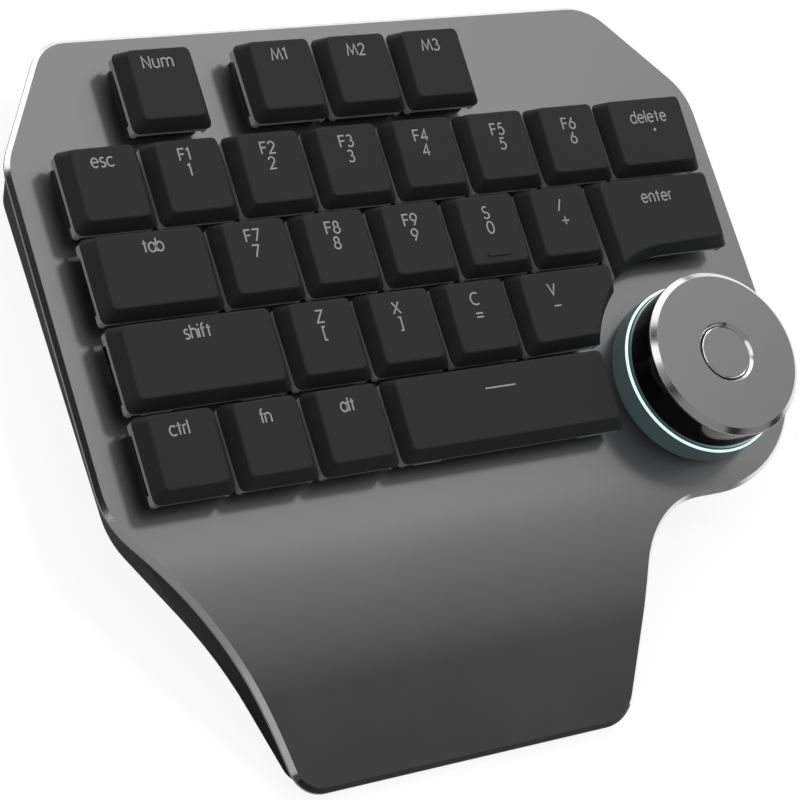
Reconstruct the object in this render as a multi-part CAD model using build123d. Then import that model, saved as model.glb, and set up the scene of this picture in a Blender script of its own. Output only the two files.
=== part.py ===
from build123d import *
import math
import os

# One-handed mechanical keyboard with a rotary dial, in millimetres, +Z up.
# The drawing frame has its zero at the front left corner of the front row of
# keys, on the desk. Everything is moved at the end so that the origin lies
# on the desk under the middle of the whole keyboard.

# Key grid
key_pitch = 19.05
key_gap = 0.65
back_row_gap = 1.7
block_width_u = 8.3
round_side_u = 6.5
v_switch_from_left_u = 0.5

# Heights above the desk
foot_height = 1.2
case_depth = 14.3
plate_thickness = 1.5
key_rise = 9.0

# Keycap
key_travel = 3.0
cap_drop = 3.5
cap_side_slope = 2.05
cap_front_slope = 2.0
cap_back_slope = 1.05
cap_front_fall = 0.7
cap_corner = 0.9
cap_wall = 1.0
cap_top_wall = 1.5
dial_cut_radius_v = 26.0
enter_tail = 7.0
homing_bar = (6.0, 0.7, 0.35)
homing_bar_root = 0.3
homing_bar_setback = 1.9

# White inner liner of the keycap
liner_wall = 0.8
liner_inset = 0.35
liner_ledge = 0.5
liner_skirt_wall = 0.9
liner_skirt_drop = 1.6
liner_foot_drop = 2.4
liner_foot_length = 2.5
liner_foot_turn = 1.2
long_foot_length = 6.8
long_foot_from_end = 4.0
liner_clearance = 0.05

# Key switch
switch_body = 13.9
switch_flange = 15.4
switch_flange_height = 0.9
switch_cover_size = 13.2
switch_cover_taper = 0.8
switch_cover_corner = 1.0
switch_height = 6.8
switch_wall = 0.8
switch_depth = 3.6
slider_size = 8.0
slider_height = 1.3
slide_clearance = 0.3
stem_x = 5.6
stem_y = 4.0
spring_radius = 2.2
spring_wall = 0.4

# Stabiliser of the two longest keys
stabiliser_wire_radius = 0.7
stabiliser_reach = 8.8
stabiliser_axle_rise = 0.8
stabiliser_post = 4.0
stabiliser_width = 6.0
stabiliser_depth = 9.0
stabiliser_floor = 0.4
stabiliser_clip_width = 3.0
stabiliser_clip_wall = 0.2
wire_bend_radius = 0.9
wire_hook_overlap = 1.0
wire_clearance = 0.05
wire_side_gap = 0.3
shift_stabiliser_spread = 11.9
space_stabiliser_spread = 19.05

# Aluminium top plate
plate_left_margin = 7.85
plate_right_margin = 9.0
plate_back_margin = 6.4
plate_chamfer = 0.9
plate_cut_clearance = 0.05
back_left_cut = (15.4, 26.4)
back_right_cut = (20.6, 23.8)
back_left_radii = (9.0, 13.0)
back_right_radii = (15.5, 13.0)
lobe_reach = 26.6
lobe_radius = 28.7

# Palm rest
palm_reach = 58.5
palm_shoulder_y = 0.3
palm_waist = (13.0, -26.8)
palm_toe_left = 23.3
palm_toe_right = 104.6
palm_armpit_x = 119.7
palm_shoulder_radius = 19.0
palm_waist_radius = 147.0
palm_toe_radius = 8.0
palm_armpit_radius = 18.6
bend_start = 9.0
bend_radius = 90.0
bend_angle = 20.0

# Plastic base
base_wall = 2.0
base_floor = 2.0
base_top_inset = 0.6
base_side_inset = 6.0
base_lobe_inset = 5.0
base_palm_inset = 1.2
base_front_inset = 3.0
base_left_back_x = -3.45
base_shoulder = (-1.5, 0.4)
base_waist = (14.8, -27.4)
base_toe_left = 22.85
base_shoulder_radius = 19.0
base_waist_radius = 90.0
base_toe_radius = 5.0

# Dial
dial_from_space = 25.1
dial_from_row = 1.5
dial_rise = 15.7
ring_outer = 19.6
ring_inner = 17.6
ring_height = 5.4
light_width = 0.5
light_height = 0.5
light_gap = 0.35
skirt_radius = 18.9
skirt_wall = 1.6
cap_radius = 19.0
cap_chamfer_in = 1.25
cap_chamfer_down = 1.0
cap_thickness = 1.6
web_thickness = 1.8
button_radius = 6.0
button_clearance = 0.2
button_recess = 0.3
button_rim_chamfer = 0.7
button_travel = 0.6
button_thickness = 1.2
plunger_radius = 1.0
plunger_clearance = 0.1
shaft_radius = 3.0
shaft_clearance = 0.05
encoder_size = (12.4, 13.2)
encoder_height = 6.5
bushing_radius = 4.5
bushing_height = 2.0
collar_radius = 5.2
collar_length = 5.3
collar_clearance = 0.02
plate_dial_hole = 12.0
tact_radius = 3.0
tact_height = 0.9
tact_gap = 0.1
led_board_inner = 12.6
led_board_thickness = 0.8
led_size = (3.0, 2.0, 0.9)
led_count = 10
spring_seat_wall = 0.6
button_spring_radius = 3.0
button_well_gap = 0.1

# Electronics
board_thickness = 1.6
board_margin = 1.2
board_left_cut = (12.0, 22.0)
board_right_cut = (14.0, 18.0)
board_corner = 3.0
board_dial_corner = 8.0
chip_units = (3.5, 2.5)
chip_size = (8.0, 8.0, 1.0)
usb_size = (8.9, 7.4, 3.2)
usb_wall = 0.3
usb_corner = 1.5
usb_from_left = 78.0
usb_cut_clearance = 0.35
usb_tongue = (6.2, 5.0, 0.7)
usb_recess = 0.6

# Fasteners and feet
screw_radius = 1.25
screw_head_radius = 2.4
screw_head_height = 1.5
screw_socket_radius = 1.0
screw_socket_depth = 0.75
screw_reach = 11.0
screw_clearance = 0.05
standoff_radius = 2.5
standoff_length = 5.0
standoff_board_gap = 0.6
post_radius = 3.6
post_root = 0.5
back_posts_units = (0.5, 2.25, 6.0)
right_post_inset = (19.0, 17.75)
palm_posts_x = (30.0, 100.0)
palm_posts_y = -13.0
dial_post_offset = 13.0
foot_radius = 5.0
foot_seat = 0.4
left_feet_x = 8.0
left_feet_y = (8.0, 68.0)
right_foot_inset = (16.0, 32.75)
dial_foot_offset = 12.0
palm_feet_inset = (11.2, 14.0)

# Sizes worked out from the driving ones
plate_top = foot_height + case_depth
plate_under = plate_top - plate_thickness
board_top = plate_top - switch_depth
board_under = board_top - board_thickness
key_top = plate_top + key_rise
rim_z = key_top - cap_drop
cap_under = key_top - cap_top_wall
cover_top = board_top + switch_height
flange_top = plate_top + switch_flange_height
back_row_y = 4 * key_pitch + back_row_gap
slider_top = cover_top - switch_wall - slide_clearance
dial_x = 6 * key_pitch + dial_from_space
dial_y = key_pitch / 2 + dial_from_row
plate_left = -plate_left_margin
plate_right = block_width_u * key_pitch + plate_right_margin
plate_back = back_row_y + key_pitch + plate_back_margin
plate_front = -palm_reach
lobe_front = dial_y - lobe_reach
ring_top = plate_top + ring_height
dial_top = plate_top + dial_rise
web_low = dial_top - cap_thickness - web_thickness
button_low = dial_top - button_recess - button_thickness
well_floor = button_low - button_travel - button_well_gap - spring_seat_wall
shaft_low = board_top + tact_height + tact_gap + button_travel + slide_clearance
origin_shift = Location((-(plate_left + plate_right) / 2, -(plate_back + plate_front) / 2, 0))
far = 400.0
overcut = 1.0


def key_list():
    """Every key as (node, left side in units, width in units, front line, row)."""
    rows = [
        (0.0, [("ctrl", 0, 1), ("fn", 1, 1), ("alt", 2, 1), ("space", 3, 3)]),
        (1.0, [("shift", 0, 2), ("z", 2, 1), ("x", 3, 1), ("c", 4, 1), ("v", 5, 1.5)]),
        (2.0, [("tab", 0, 1.5), ("f7", 1.5, 1), ("f8", 2.5, 1), ("f9", 3.5, 1),
               ("s", 4.5, 1), ("slash", 5.5, 1), ("enter", round_side_u, 1.8)]),
        (3.0, [("esc", 0, 1)] + [(f"f{i}", i, 1) for i in range(1, 7)] + [("delete", 7, 1.3)]),
    ]
    keys = []
    for row, (row_units, entries) in enumerate(rows):
        for name, left, width in entries:
            keys.append((f"key_{name}", left, width, row_units * key_pitch, row))
    for name, left in (("num", 1.0), ("m1", 2.5), ("m2", 3.5), ("m3", 4.5)):
        keys.append((f"key_{name}", left, 1, back_row_y, 4))
    return keys


def switch_place(key):
    """Middle of the switch under a key. The switch of the round-sided V key
    stands left of the middle, away from the dial."""
    name, left, width, front, row = key
    middle = left + (v_switch_from_left_u if name == "key_v" else width / 2)
    return middle * key_pitch, front + key_pitch / 2


def rounded_points(corners):
    """Tangent points and arc middles of a polygon with rounded corners."""
    result = []
    count = len(corners)
    for i, (x, y, r) in enumerate(corners):
        point = Vector(x, y)
        before = Vector(*corners[i - 1][:2])
        after = Vector(*corners[(i + 1) % count][:2])
        to_before = (before - point).normalized()
        to_after = (after - point).normalized()
        half = math.radians(to_before.get_angle(to_after)) / 2
        reach = r / math.tan(half)
        inward = (to_before + to_after).normalized()
        centre = point + inward * (r / math.sin(half))
        result.append((point + to_before * reach, centre - inward * r, point + to_after * reach))
    return result


def rounded_wire(corners, z):
    """Closed wire of straight sides and tangent arcs at one height."""
    lift = Vector(0, 0, z)
    points = rounded_points(corners)
    edges = []
    for i, (start, middle, end) in enumerate(points):
        edges.append(ThreePointArc(start + lift, middle + lift, end + lift))
        edges.append(Line(end + lift, points[(i + 1) % len(points)][0] + lift))
    return Wire(edges)


def inset_corners(corners, insets):
    """Move each side of a rounded polygon inwards by its own distance. Side i
    runs from corner i to the next one. The polygon runs anticlockwise."""
    count = len(corners)
    sides = []
    for i in range(count):
        a = Vector(*corners[i][:2])
        b = Vector(*corners[(i + 1) % count][:2])
        along = (b - a).normalized()
        inward = Vector(-along.Y, along.X)
        sides.append((a + inward * insets[i], along))
    moved = []
    for i in range(count):
        p, u = sides[i - 1]
        q, v = sides[i]
        cross = u.X * v.Y - u.Y * v.X
        step = ((q.X - p.X) * v.Y - (q.Y - p.Y) * v.X) / cross
        corner = p + u * step
        change = (insets[i - 1] + insets[i]) / 2
        radius = corners[i][2] - change if cross > 0 else corners[i][2] + change
        moved.append((corner.X, corner.Y, max(radius, 1.0)))
    return moved


def prism(corners, z_low, z_high):
    """Upright solid on a rounded polygon."""
    return extrude(Face(rounded_wire(corners, z_low)), z_high - z_low, dir=(0, 0, 1))


def rectangle(x_low, x_high, y_low, y_high, radius):
    return [(x_low, y_low, radius), (x_high, y_low, radius),
            (x_high, y_high, radius), (x_low, y_high, radius)]


def block(x, y, width, depth, z_low, z_high):
    """Box centred on x, y between two heights."""
    return Pos(x, y, (z_low + z_high) / 2) * Box(width, depth, z_high - z_low)


def rod(x, y, radius, z_low, z_high):
    """Upright round rod between two heights."""
    return Pos(x, y, (z_low + z_high) / 2) * Cylinder(radius, z_high - z_low)


def tube(x, y, outer, inner, z_low, z_high):
    return rod(x, y, outer, z_low, z_high) - rod(x, y, inner, z_low - overcut, z_high + overcut)


def cone(x, y, low_radius, high_radius, z_low, z_high):
    return Pos(x, y, (z_low + z_high) / 2) * Cone(low_radius, high_radius, z_high - z_low)


def plate_corners():
    """Outline of the top plate, anticlockwise from the back right corner."""
    return [
        (plate_right, plate_back - back_right_cut[1], back_right_radii[0]),
        (plate_right - back_right_cut[0], plate_back, back_right_radii[1]),
        (plate_left + back_left_cut[0], plate_back, back_left_radii[0]),
        (plate_left, plate_back - back_left_cut[1], back_left_radii[1]),
        (plate_left, palm_shoulder_y, palm_shoulder_radius),
        (*palm_waist, palm_waist_radius),
        (palm_toe_left, plate_front, palm_toe_radius),
        (palm_toe_right, plate_front, palm_toe_radius),
        (palm_armpit_x, lobe_front, palm_armpit_radius),
        (plate_right, lobe_front, lobe_radius),
    ]


def outline_insets(side, back, palm, front, lobe):
    """One inset for each side of plate_corners, in the same order."""
    return [side, back, side, side, palm, palm, front, palm, lobe, side]


def below_bend(depth):
    """Everything below the bent plate's top surface lowered by depth."""
    top = plate_top
    radius = bend_radius - depth
    turn = math.radians(bend_angle)
    centre = (-bend_start, top - bend_radius)
    middle = (centre[0] - radius * math.sin(turn / 2), centre[1] + radius * math.cos(turn / 2))
    end = (centre[0] - radius * math.sin(turn), centre[1] + radius * math.cos(turn))
    run = palm_reach
    toe = (end[0] - run * math.cos(turn), end[1] - run * math.sin(turn))
    start = (centre[0], top - depth)
    edges = [
        Line(start, (far, top - depth)),
        Line((far, top - depth), (far, -far)),
        Line((far, -far), (toe[0], -far)),
        Line((toe[0], -far), toe),
        Line(toe, end),
        ThreePointArc(end, middle, start),
    ]
    profile = Face(Wire(edges))
    profile = Plane.YZ.offset(-far) * profile
    return extrude(profile, 2 * far, dir=(1, 0, 0))


def bend_height(y):
    """Height of the plate's top surface at a distance from the front row."""
    turn = math.radians(bend_angle)
    past = -bend_start - y
    arc_run = bend_radius * math.sin(turn)
    if past <= 0:
        return plate_top
    if past <= arc_run:
        return plate_top - bend_radius + math.sqrt(bend_radius ** 2 - past ** 2)
    return plate_top - bend_radius * (1 - math.cos(turn)) - (past - arc_run) * math.tan(turn)


def post_places():
    """Places of the screws: along the back, in the palm rest and beside the dial."""
    places = [(units * key_pitch, back_row_y + key_pitch / 2) for units in back_posts_units]
    places.append((plate_right - right_post_inset[0], plate_back - right_post_inset[1]))
    places.extend((x, palm_posts_y) for x in palm_posts_x)
    places.append((dial_x + dial_post_offset, dial_y - dial_post_offset))
    return places


def foot_places():
    """Places of the rubber feet: two at each side and two under the palm rest."""
    toe_x, toe_y = palm_feet_inset
    places = [(left_feet_x, y) for y in left_feet_y]
    places.append((plate_right - right_foot_inset[0], plate_back - right_foot_inset[1]))
    places.append((dial_x + dial_foot_offset, dial_y))
    places.append((palm_toe_left + toe_x, plate_front + toe_y))
    places.append((palm_toe_right - toe_x, plate_front + toe_y))
    return places


def stabilised():
    """Stabilised keys: node, distance of each slider from the switch."""
    return {"key_shift": shift_stabiliser_spread, "key_space": space_stabiliser_spread}


def axle_place(key):
    """Where a key's stabiliser wire turns: y and z of its axle, behind the switch."""
    return switch_place(key)[1] + stabiliser_reach, plate_top + stabiliser_axle_rise


def arm_offset(key):
    """Distance of each arm of the wire from the middle of the key."""
    side = stabiliser_width / 2 + wire_side_gap + stabiliser_wire_radius
    return stabilised()[key[0]] + side


def make_plate():
    """Aluminium plate with a bent palm rest, bright chamfer and switch holes."""
    slab = prism(plate_corners(), 0, plate_top + overcut)
    plate = ((slab & below_bend(0)) - below_bend(plate_thickness)).solid()
    upper = [f for f in plate.faces() if f.normal_at().Z > 0.5]
    rim = []
    for edge in plate.edges():
        inside = [f for f in upper if any(edge.is_same(e) for e in f.edges())]
        if len(inside) == 1:
            rim.append(edge)
    plate = chamfer(rim, plate_chamfer)
    hole = switch_body + 2 * plate_cut_clearance
    cuts = []
    for key in key_list():
        x, y = switch_place(key)
        cuts.append(block(x, y, hole, hole, plate_under - overcut, plate_top + overcut))
        if key[0] in stabilised():
            width = stabiliser_width + 2 * plate_cut_clearance
            depth = stabiliser_depth + 2 * plate_cut_clearance
            slot = 2 * (stabiliser_wire_radius + wire_side_gap)
            for side in (-1, 1):
                place = x + side * stabilised()[key[0]]
                cuts.append(block(place, y, width, depth, plate_under - overcut, plate_top + overcut))
                arm = x + side * arm_offset(key)
                cuts.append(block(arm, y + stabiliser_reach / 2, slot, stabiliser_reach + slot,
                                  plate_under - overcut, plate_top + overcut))
    cuts.append(rod(dial_x, dial_y, plate_dial_hole, plate_under - overcut, plate_top + overcut))
    return plate - cuts


def base_corners():
    """Outline of the base at its floor: it follows the plate's, but for the left
    side and the palm rest's left side, which have lines of their own."""
    low = inset_corners(plate_corners(), outline_insets(
        base_side_inset, base_side_inset, base_palm_inset, base_front_inset, base_lobe_inset))
    back_y, back_radius = low[3][1:]
    low[3:7] = [
        (base_left_back_x, back_y, back_radius),
        (*base_shoulder, base_shoulder_radius),
        (*base_waist, base_waist_radius),
        (base_toe_left, low[6][1], base_toe_radius),
    ]
    return low


def make_base():
    """Black plastic base: sloping walls under the keys, shallow under the palm."""
    low = base_corners()
    high = inset_corners(plate_corners(), outline_insets(*[base_top_inset] * 5))
    low_in = inset_corners(low, [base_wall] * len(low))
    high_in = inset_corners(high, [base_wall] * len(high))
    outer = Solid.make_loft([rounded_wire(low, foot_height), rounded_wire(high, plate_under)], ruled=True)
    inner = Solid.make_loft(
        [rounded_wire(low_in, foot_height + base_floor), rounded_wire(high_in, plate_under)], ruled=True)
    cover = below_bend(plate_thickness)
    shell = (outer & cover) - inner
    floor_top = foot_height + base_floor
    for x, y in post_places():
        top = bend_height(y) - plate_thickness - standoff_length
        shell = shell + rod(x, y, post_radius, floor_top - post_root, top)
    seat = foot_height + screw_head_height + screw_clearance
    for x, y in post_places():
        shell = shell - rod(x, y, screw_radius + 2 * screw_clearance, foot_height - overcut, plate_under)
        shell = shell - rod(x, y, screw_head_radius + 4 * screw_clearance, foot_height - overcut, seat)
    for x, y in foot_places():
        shell = shell - rod(x, y, foot_radius, foot_height - overcut, foot_height + foot_seat)
    usb_x, usb_y, usb_z = usb_place()
    grow = 2 * usb_cut_clearance
    mouth = Pos(usb_x, usb_y, usb_z) * Box(usb_size[0] + grow, 4 * usb_size[1], usb_size[2] + grow,
                                           align=(Align.CENTER, Align.MIN, Align.CENTER))
    return shell - mouth


def usb_place():
    """Inner end of the socket: it hangs under the board at the back edge."""
    wall_slope = (base_side_inset - base_top_inset) / (plate_under - foot_height)
    z = board_under - usb_size[2] / 2
    wall_out = plate_back - base_top_inset - (plate_under - z) * wall_slope
    return usb_from_left, wall_out - usb_recess - usb_size[1], z


def make_board():
    """Circuit board that carries the switches, the encoder and the socket."""
    right = plate_right - board_margin - base_side_inset
    back = back_row_y + key_pitch - board_margin
    corners = [
        (board_margin, board_margin, board_corner),
        (right, board_margin, board_dial_corner),
        (right, back - board_right_cut[1], board_corner),
        (right - board_right_cut[0], back, board_corner),
        (board_margin + board_left_cut[0], back, board_corner),
        (board_margin, back - board_left_cut[1], board_corner),
    ]
    board = prism(corners, board_under, board_top)
    for x, y in post_places():
        board = board - rod(x, y, standoff_radius + standoff_board_gap,
                            board_under - overcut, board_top + overcut)
    return board


def make_switch_base(key):
    """Lower half of a switch, clipped into the plate."""
    x, y = switch_place(key)
    pocket = slider_size + 2 * slide_clearance
    half = block(x, y, switch_body, switch_body, board_top, plate_top)
    half = half + block(x, y, switch_flange, switch_flange, plate_top, flange_top)
    return half - block(x, y, pocket, pocket, board_top + switch_wall, flange_top + overcut)


def make_switch_cover(key):
    """Upper half of a switch, which holds the slider in."""
    x, y = switch_place(key)
    pocket = slider_size + 2 * slide_clearance
    wide = switch_cover_size / 2
    narrow = wide - switch_cover_taper
    low = rectangle(-wide, wide, -wide, wide, switch_cover_corner)
    high = rectangle(-narrow, narrow, -narrow, narrow, switch_cover_corner)
    cover = Solid.make_loft([rounded_wire(low, flange_top), rounded_wire(high, cover_top)], ruled=True)
    cover = Pos(x, y, 0) * cover
    cover = cover - block(x, y, pocket, pocket, flange_top - overcut, cover_top - switch_wall)
    return cover - block(x, y, stem_x + 2 * slide_clearance, stem_y + 2 * slide_clearance,
                         flange_top, cover_top + overcut)


def make_spring(key):
    """Return spring of a switch, drawn as the sleeve that its coil fills."""
    x, y = switch_place(key)
    return tube(x, y, spring_radius, spring_radius - spring_wall,
                board_top + switch_wall, slider_top - slider_height)


def make_stem(key):
    """Slider and stem of a switch, pushed into the keycap."""
    x, y = switch_place(key)
    slider = block(x, y, slider_size, slider_size, slider_top - slider_height, slider_top)
    return slider + block(x, y, stem_x, stem_y, slider_top, cap_under)


def make_posts(key):
    """The two stabiliser posts under a long key, each with a hole for the wire."""
    x, y = switch_place(key)
    low = board_top + stabiliser_floor + key_travel + wire_side_gap
    hook_z = axle_place(key)[1] + key_travel / 2
    hole = 2 * (stabiliser_wire_radius + 2 * wire_clearance)
    posts = []
    for side in (-1, 1):
        place = x + side * stabilised()[key[0]]
        post = block(place, y, stabiliser_post, stabiliser_post, low, cap_under)
        posts.append(post - Pos(place, y, hook_z) * Box(2 * stabiliser_post, hole + wire_side_gap, hole))
    return posts


def make_stabiliser_blocks(key):
    """Two plastic housings in the plate: each guides a post and clips the wire."""
    x, y = switch_place(key)
    axle_y, axle_z = axle_place(key)
    pocket = stabiliser_post + 2 * slide_clearance
    slot = 2 * (stabiliser_wire_radius + wire_side_gap)
    slot_low = axle_z - key_travel / 2 - stabiliser_wire_radius - wire_side_gap / 2
    bore = stabiliser_wire_radius + wire_clearance
    clip_front = y + stabiliser_depth / 2 - bore
    clip_back = axle_y + bore + stabiliser_clip_wall
    clip_top = axle_z + bore + stabiliser_clip_wall
    blocks = []
    for side in (-1, 1):
        place = x + side * stabilised()[key[0]]
        outside = place + side * stabiliser_width / 2
        body = block(place, y, stabiliser_width, stabiliser_depth, board_top, flange_top)
        body = body + block(place, (clip_front + clip_back) / 2, stabiliser_clip_width,
                            clip_back - clip_front, plate_top, clip_top)
        body = body - block(place, y, pocket, pocket, board_top + stabiliser_floor, flange_top + overcut)
        body = body - block(outside, y, stabiliser_width, slot, slot_low, flange_top + overcut)
        blocks.append(body - Pos(place, axle_y, axle_z) * Rot(0, 90, 0) * Cylinder(bore, stabiliser_width))
    return blocks


def make_wire(key):
    """Stabiliser wire: an axle, two arms and two hooks, bent from one rod."""
    x, y = switch_place(key)
    axle_y, axle_z = axle_place(key)
    hook_z = axle_z + key_travel / 2
    out = arm_offset(key)
    inner = stabilised()[key[0]] - wire_hook_overlap
    path = FilletPolyline(
        (x - inner, y, hook_z),
        (x - out, y, hook_z),
        (x - out, axle_y, axle_z),
        (x + out, axle_y, axle_z),
        (x + out, y, hook_z),
        (x + inner, y, hook_z),
        radius=wire_bend_radius,
    )
    return sweep(Plane(path @ 0, z_dir=path % 0) * Circle(stabiliser_wire_radius), path)


def cap_loft(x_low, x_high, y_low, y_high, shrink, z_low, z_high, front_fall):
    """Tapered block of a keycap between two heights, made smaller by shrink.
    Its top slants down towards the user by front_fall."""
    corner = max(cap_corner - shrink / 2, 0.3)
    low = rectangle(x_low + shrink, x_high - shrink, y_low + shrink, y_high - shrink, corner)
    share = (z_high - z_low) / cap_drop
    side = shrink + cap_side_slope * share
    front = y_low + shrink + cap_front_slope * share
    back = y_high - shrink - cap_back_slope * share
    top = rounded_wire(rectangle(x_low + side, x_high - side, front, back, corner), z_high)
    if front_fall:
        slant = math.degrees(math.atan(front_fall / (back - front)))
        top = top.rotate(Axis((0, back, z_high), (1, 0, 0)), slant)
    return Solid.make_loft([rounded_wire(low, z_low), top], ruled=True)


def dial_cut(rim_radius, grow, z_low, z_high):
    """Cone about the dial that hollows the side of a key that faces it."""
    slope = cap_front_slope / cap_drop
    low = rim_radius + grow + (z_low - rim_z) * slope
    high = rim_radius + grow + (z_high - rim_z) * slope
    return cone(dial_x, dial_y, low, high, z_low, z_high)


def cap_body(key, shrink, z_low, z_high, front_fall=0.0):
    """Keycap shape of one key, with the round side of V and enter."""
    name, left, width, front, row = key
    x_low = left * key_pitch + key_gap / 2
    x_high = (left + width) * key_pitch - key_gap / 2
    y_low = front + key_gap / 2
    y_high = front + key_pitch - key_gap / 2
    body = cap_loft(x_low, x_high, y_low, y_high, shrink, z_low, z_high, front_fall)
    if name == "key_v":
        body = body - dial_cut(dial_cut_radius_v, shrink, z_low - overcut, z_high + overcut)
    if name == "key_enter":
        tail = cap_loft(x_low, dial_x + 2 * shrink + cap_side_slope, y_low - enter_tail, y_high,
                        shrink, z_low, z_high, front_fall * (1 + enter_tail / key_pitch))
        body = body + tail
        body = body - dial_cut(y_low - dial_y, shrink, z_low - overcut, z_high + overcut)
    return body


def rim_ring(key, outside, inside, depth):
    """Ring below the rim of a key, between two distances in from the rim."""
    wide = cap_body(key, outside, rim_z, key_top).faces().sort_by(Axis.Z)[0]
    narrow = cap_body(key, inside, rim_z, key_top).faces().sort_by(Axis.Z)[0]
    return extrude(wide, depth, dir=(0, 0, -1)) - extrude(narrow, depth, dir=(0, 0, -1))


def liner_feet(key):
    """Where the liner's skirt reaches lower: at the ends of both sides and, on
    a long key, along two stretches of the front."""
    name, left, width, front, row = key
    x_low = left * key_pitch
    x_high = (left + width) * key_pitch
    edge = key_gap / 2 + liner_inset
    low = rim_z - liner_foot_drop
    areas = [block(x, y, 2 * (edge + liner_foot_turn), 2 * (edge + liner_foot_length), low, rim_z)
             for x in (x_low, x_high) for y in (front, front + key_pitch)]
    if name in stabilised():
        reach = key_gap / 2 + long_foot_from_end + long_foot_length / 2
        areas.extend(block(x, front, long_foot_length, key_pitch, low, rim_z)
                     for x in (x_low + reach, x_high - reach))
    return areas


def make_liner(key):
    """Clear white liner inside the cap. Its skirt and feet show under the rim."""
    wall = cap_wall + liner_clearance
    top = cap_under - liner_clearance
    skirt = liner_inset + liner_skirt_wall
    liner = cap_body(key, wall, rim_z, top) - cap_body(key, wall + liner_wall, rim_z, top)
    liner = liner + rim_ring(key, liner_inset, wall + liner_wall, liner_ledge)
    liner = liner + rim_ring(key, liner_inset, skirt, liner_skirt_drop)
    feet = rim_ring(key, liner_inset, skirt, liner_foot_drop)
    liner = liner + (feet & Compound(liner_feet(key)))
    if key[0] in stabilised():
        x, y = switch_place(key)
        span = 2 * (arm_offset(key) + stabiliser_wire_radius + wire_side_gap)
        liner = liner - block(x, y + key_pitch / 2, span, 2 * (key_gap + skirt),
                              rim_z - liner_foot_drop - overcut, rim_z - liner_ledge)
    return liner


def build_key(key):
    """Keycap, liner, stem and any stabiliser posts of one key, as separate solids."""
    name, left, width, front, row = key
    cap = cap_body(key, 0, rim_z, key_top, cap_front_fall) - cap_body(key, cap_wall, rim_z, cap_under)
    if name == "key_s":
        long, wide, high = homing_bar
        place = front + key_gap / 2 + cap_front_slope + homing_bar_setback
        surface = key_top - cap_front_fall
        cap = cap + block(switch_place(key)[0], place, long, wide, surface - homing_bar_root, surface + high)
    pieces = [cap, make_liner(key), make_stem(key)]
    if name in stabilised():
        pieces.extend(make_posts(key))
    return pieces


def make_key(key, plain_keys):
    """One key in its place. Plain keys of one width are moved copies of one shape."""
    name, left, width, front, row = key
    if name in ("key_s", "key_v", "key_enter", *stabilised()):
        return build_key(key)
    if width not in plain_keys:
        plain_keys[width] = build_key(("plain", 0, width, 0, 0))
    return [Pos(left * key_pitch, front, 0) * piece for piece in plain_keys[width]]


def make_base_ring():
    """Smoked clear ring that stands on the plate and carries the dial's light."""
    return tube(dial_x, dial_y, ring_outer, ring_inner, plate_top, ring_top)


def make_light_ring():
    return tube(dial_x, dial_y, ring_outer, ring_outer - light_width, ring_top, ring_top + light_height)


def make_led_board():
    return tube(dial_x, dial_y, ring_inner - slide_clearance, led_board_inner,
                plate_top, plate_top + led_board_thickness)


def make_leds():
    """Lamps spaced evenly on the ring-shaped board."""
    middle = (ring_inner - slide_clearance + led_board_inner) / 2
    low = plate_top + led_board_thickness
    lamp = block(middle, 0, led_size[1], led_size[0], low, low + led_size[2])
    return [Pos(dial_x, dial_y, 0) * Rot(0, 0, i * 360 / led_count) * lamp for i in range(led_count)]


def make_encoder():
    """Rotary encoder on the board, with a round bushing for the dial's shaft."""
    body = block(dial_x, dial_y, *encoder_size, board_top, board_top + encoder_height)
    top = board_top + encoder_height + bushing_height
    body = body + rod(dial_x, dial_y, bushing_radius, board_top + encoder_height, top)
    body = body - rod(dial_x, dial_y, shaft_radius + shaft_clearance, board_top, top + overcut)
    room = tact_radius + slide_clearance
    return body - rod(dial_x, dial_y, room, board_top - overcut, shaft_low - slide_clearance)


def make_shaft():
    """Hollow steel shaft of the encoder, pushed up into the dial's collar."""
    return tube(dial_x, dial_y, shaft_radius, plunger_radius + plunger_clearance, shaft_low, web_low)


def make_skirt():
    """Glossy black body of the dial: skirt, inner disc and collar for the shaft."""
    low = ring_top + light_height + light_gap
    high = dial_top - cap_thickness
    skirt = tube(dial_x, dial_y, skirt_radius, skirt_radius - skirt_wall, low, high)
    disc = rod(dial_x, dial_y, skirt_radius - skirt_wall / 2, web_low, high)
    collar = rod(dial_x, dial_y, collar_radius, web_low - collar_length, web_low)
    body = skirt + disc + collar
    body = body - rod(dial_x, dial_y, shaft_radius + collar_clearance,
                      web_low - collar_length - overcut, web_low)
    body = body - rod(dial_x, dial_y, plunger_radius + 2 * plunger_clearance,
                      web_low - overcut, high + overcut)
    return body - rod(dial_x, dial_y, button_radius + 2 * button_clearance, well_floor, high + overcut)


def make_dial_cap():
    """Aluminium cap of the dial: bright chamfers outside and round the button."""
    low = dial_top - cap_thickness
    shoulder = dial_top - cap_chamfer_down
    cap = rod(dial_x, dial_y, cap_radius, low, shoulder)
    cap = cap + cone(dial_x, dial_y, cap_radius, cap_radius - cap_chamfer_in, shoulder, dial_top)
    hole = button_radius + button_clearance
    cap = cap - rod(dial_x, dial_y, hole, low - overcut, dial_top + overcut)
    rim = button_rim_chamfer
    return cap - cone(dial_x, dial_y, hole, hole + 2 * rim, dial_top - rim, dial_top + rim)


def make_button():
    return rod(dial_x, dial_y, button_radius, button_low, button_low + button_thickness)


def make_plunger():
    """Thin rod from the button down through the shaft to the tact switch."""
    low = board_top + tact_height + tact_gap + button_travel
    return rod(dial_x, dial_y, plunger_radius, low, button_low)


def make_button_spring():
    return tube(dial_x, dial_y, button_spring_radius, button_spring_radius - spring_seat_wall,
                well_floor, button_low)


def make_tact():
    return rod(dial_x, dial_y, tact_radius, board_top, board_top + tact_height)


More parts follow.
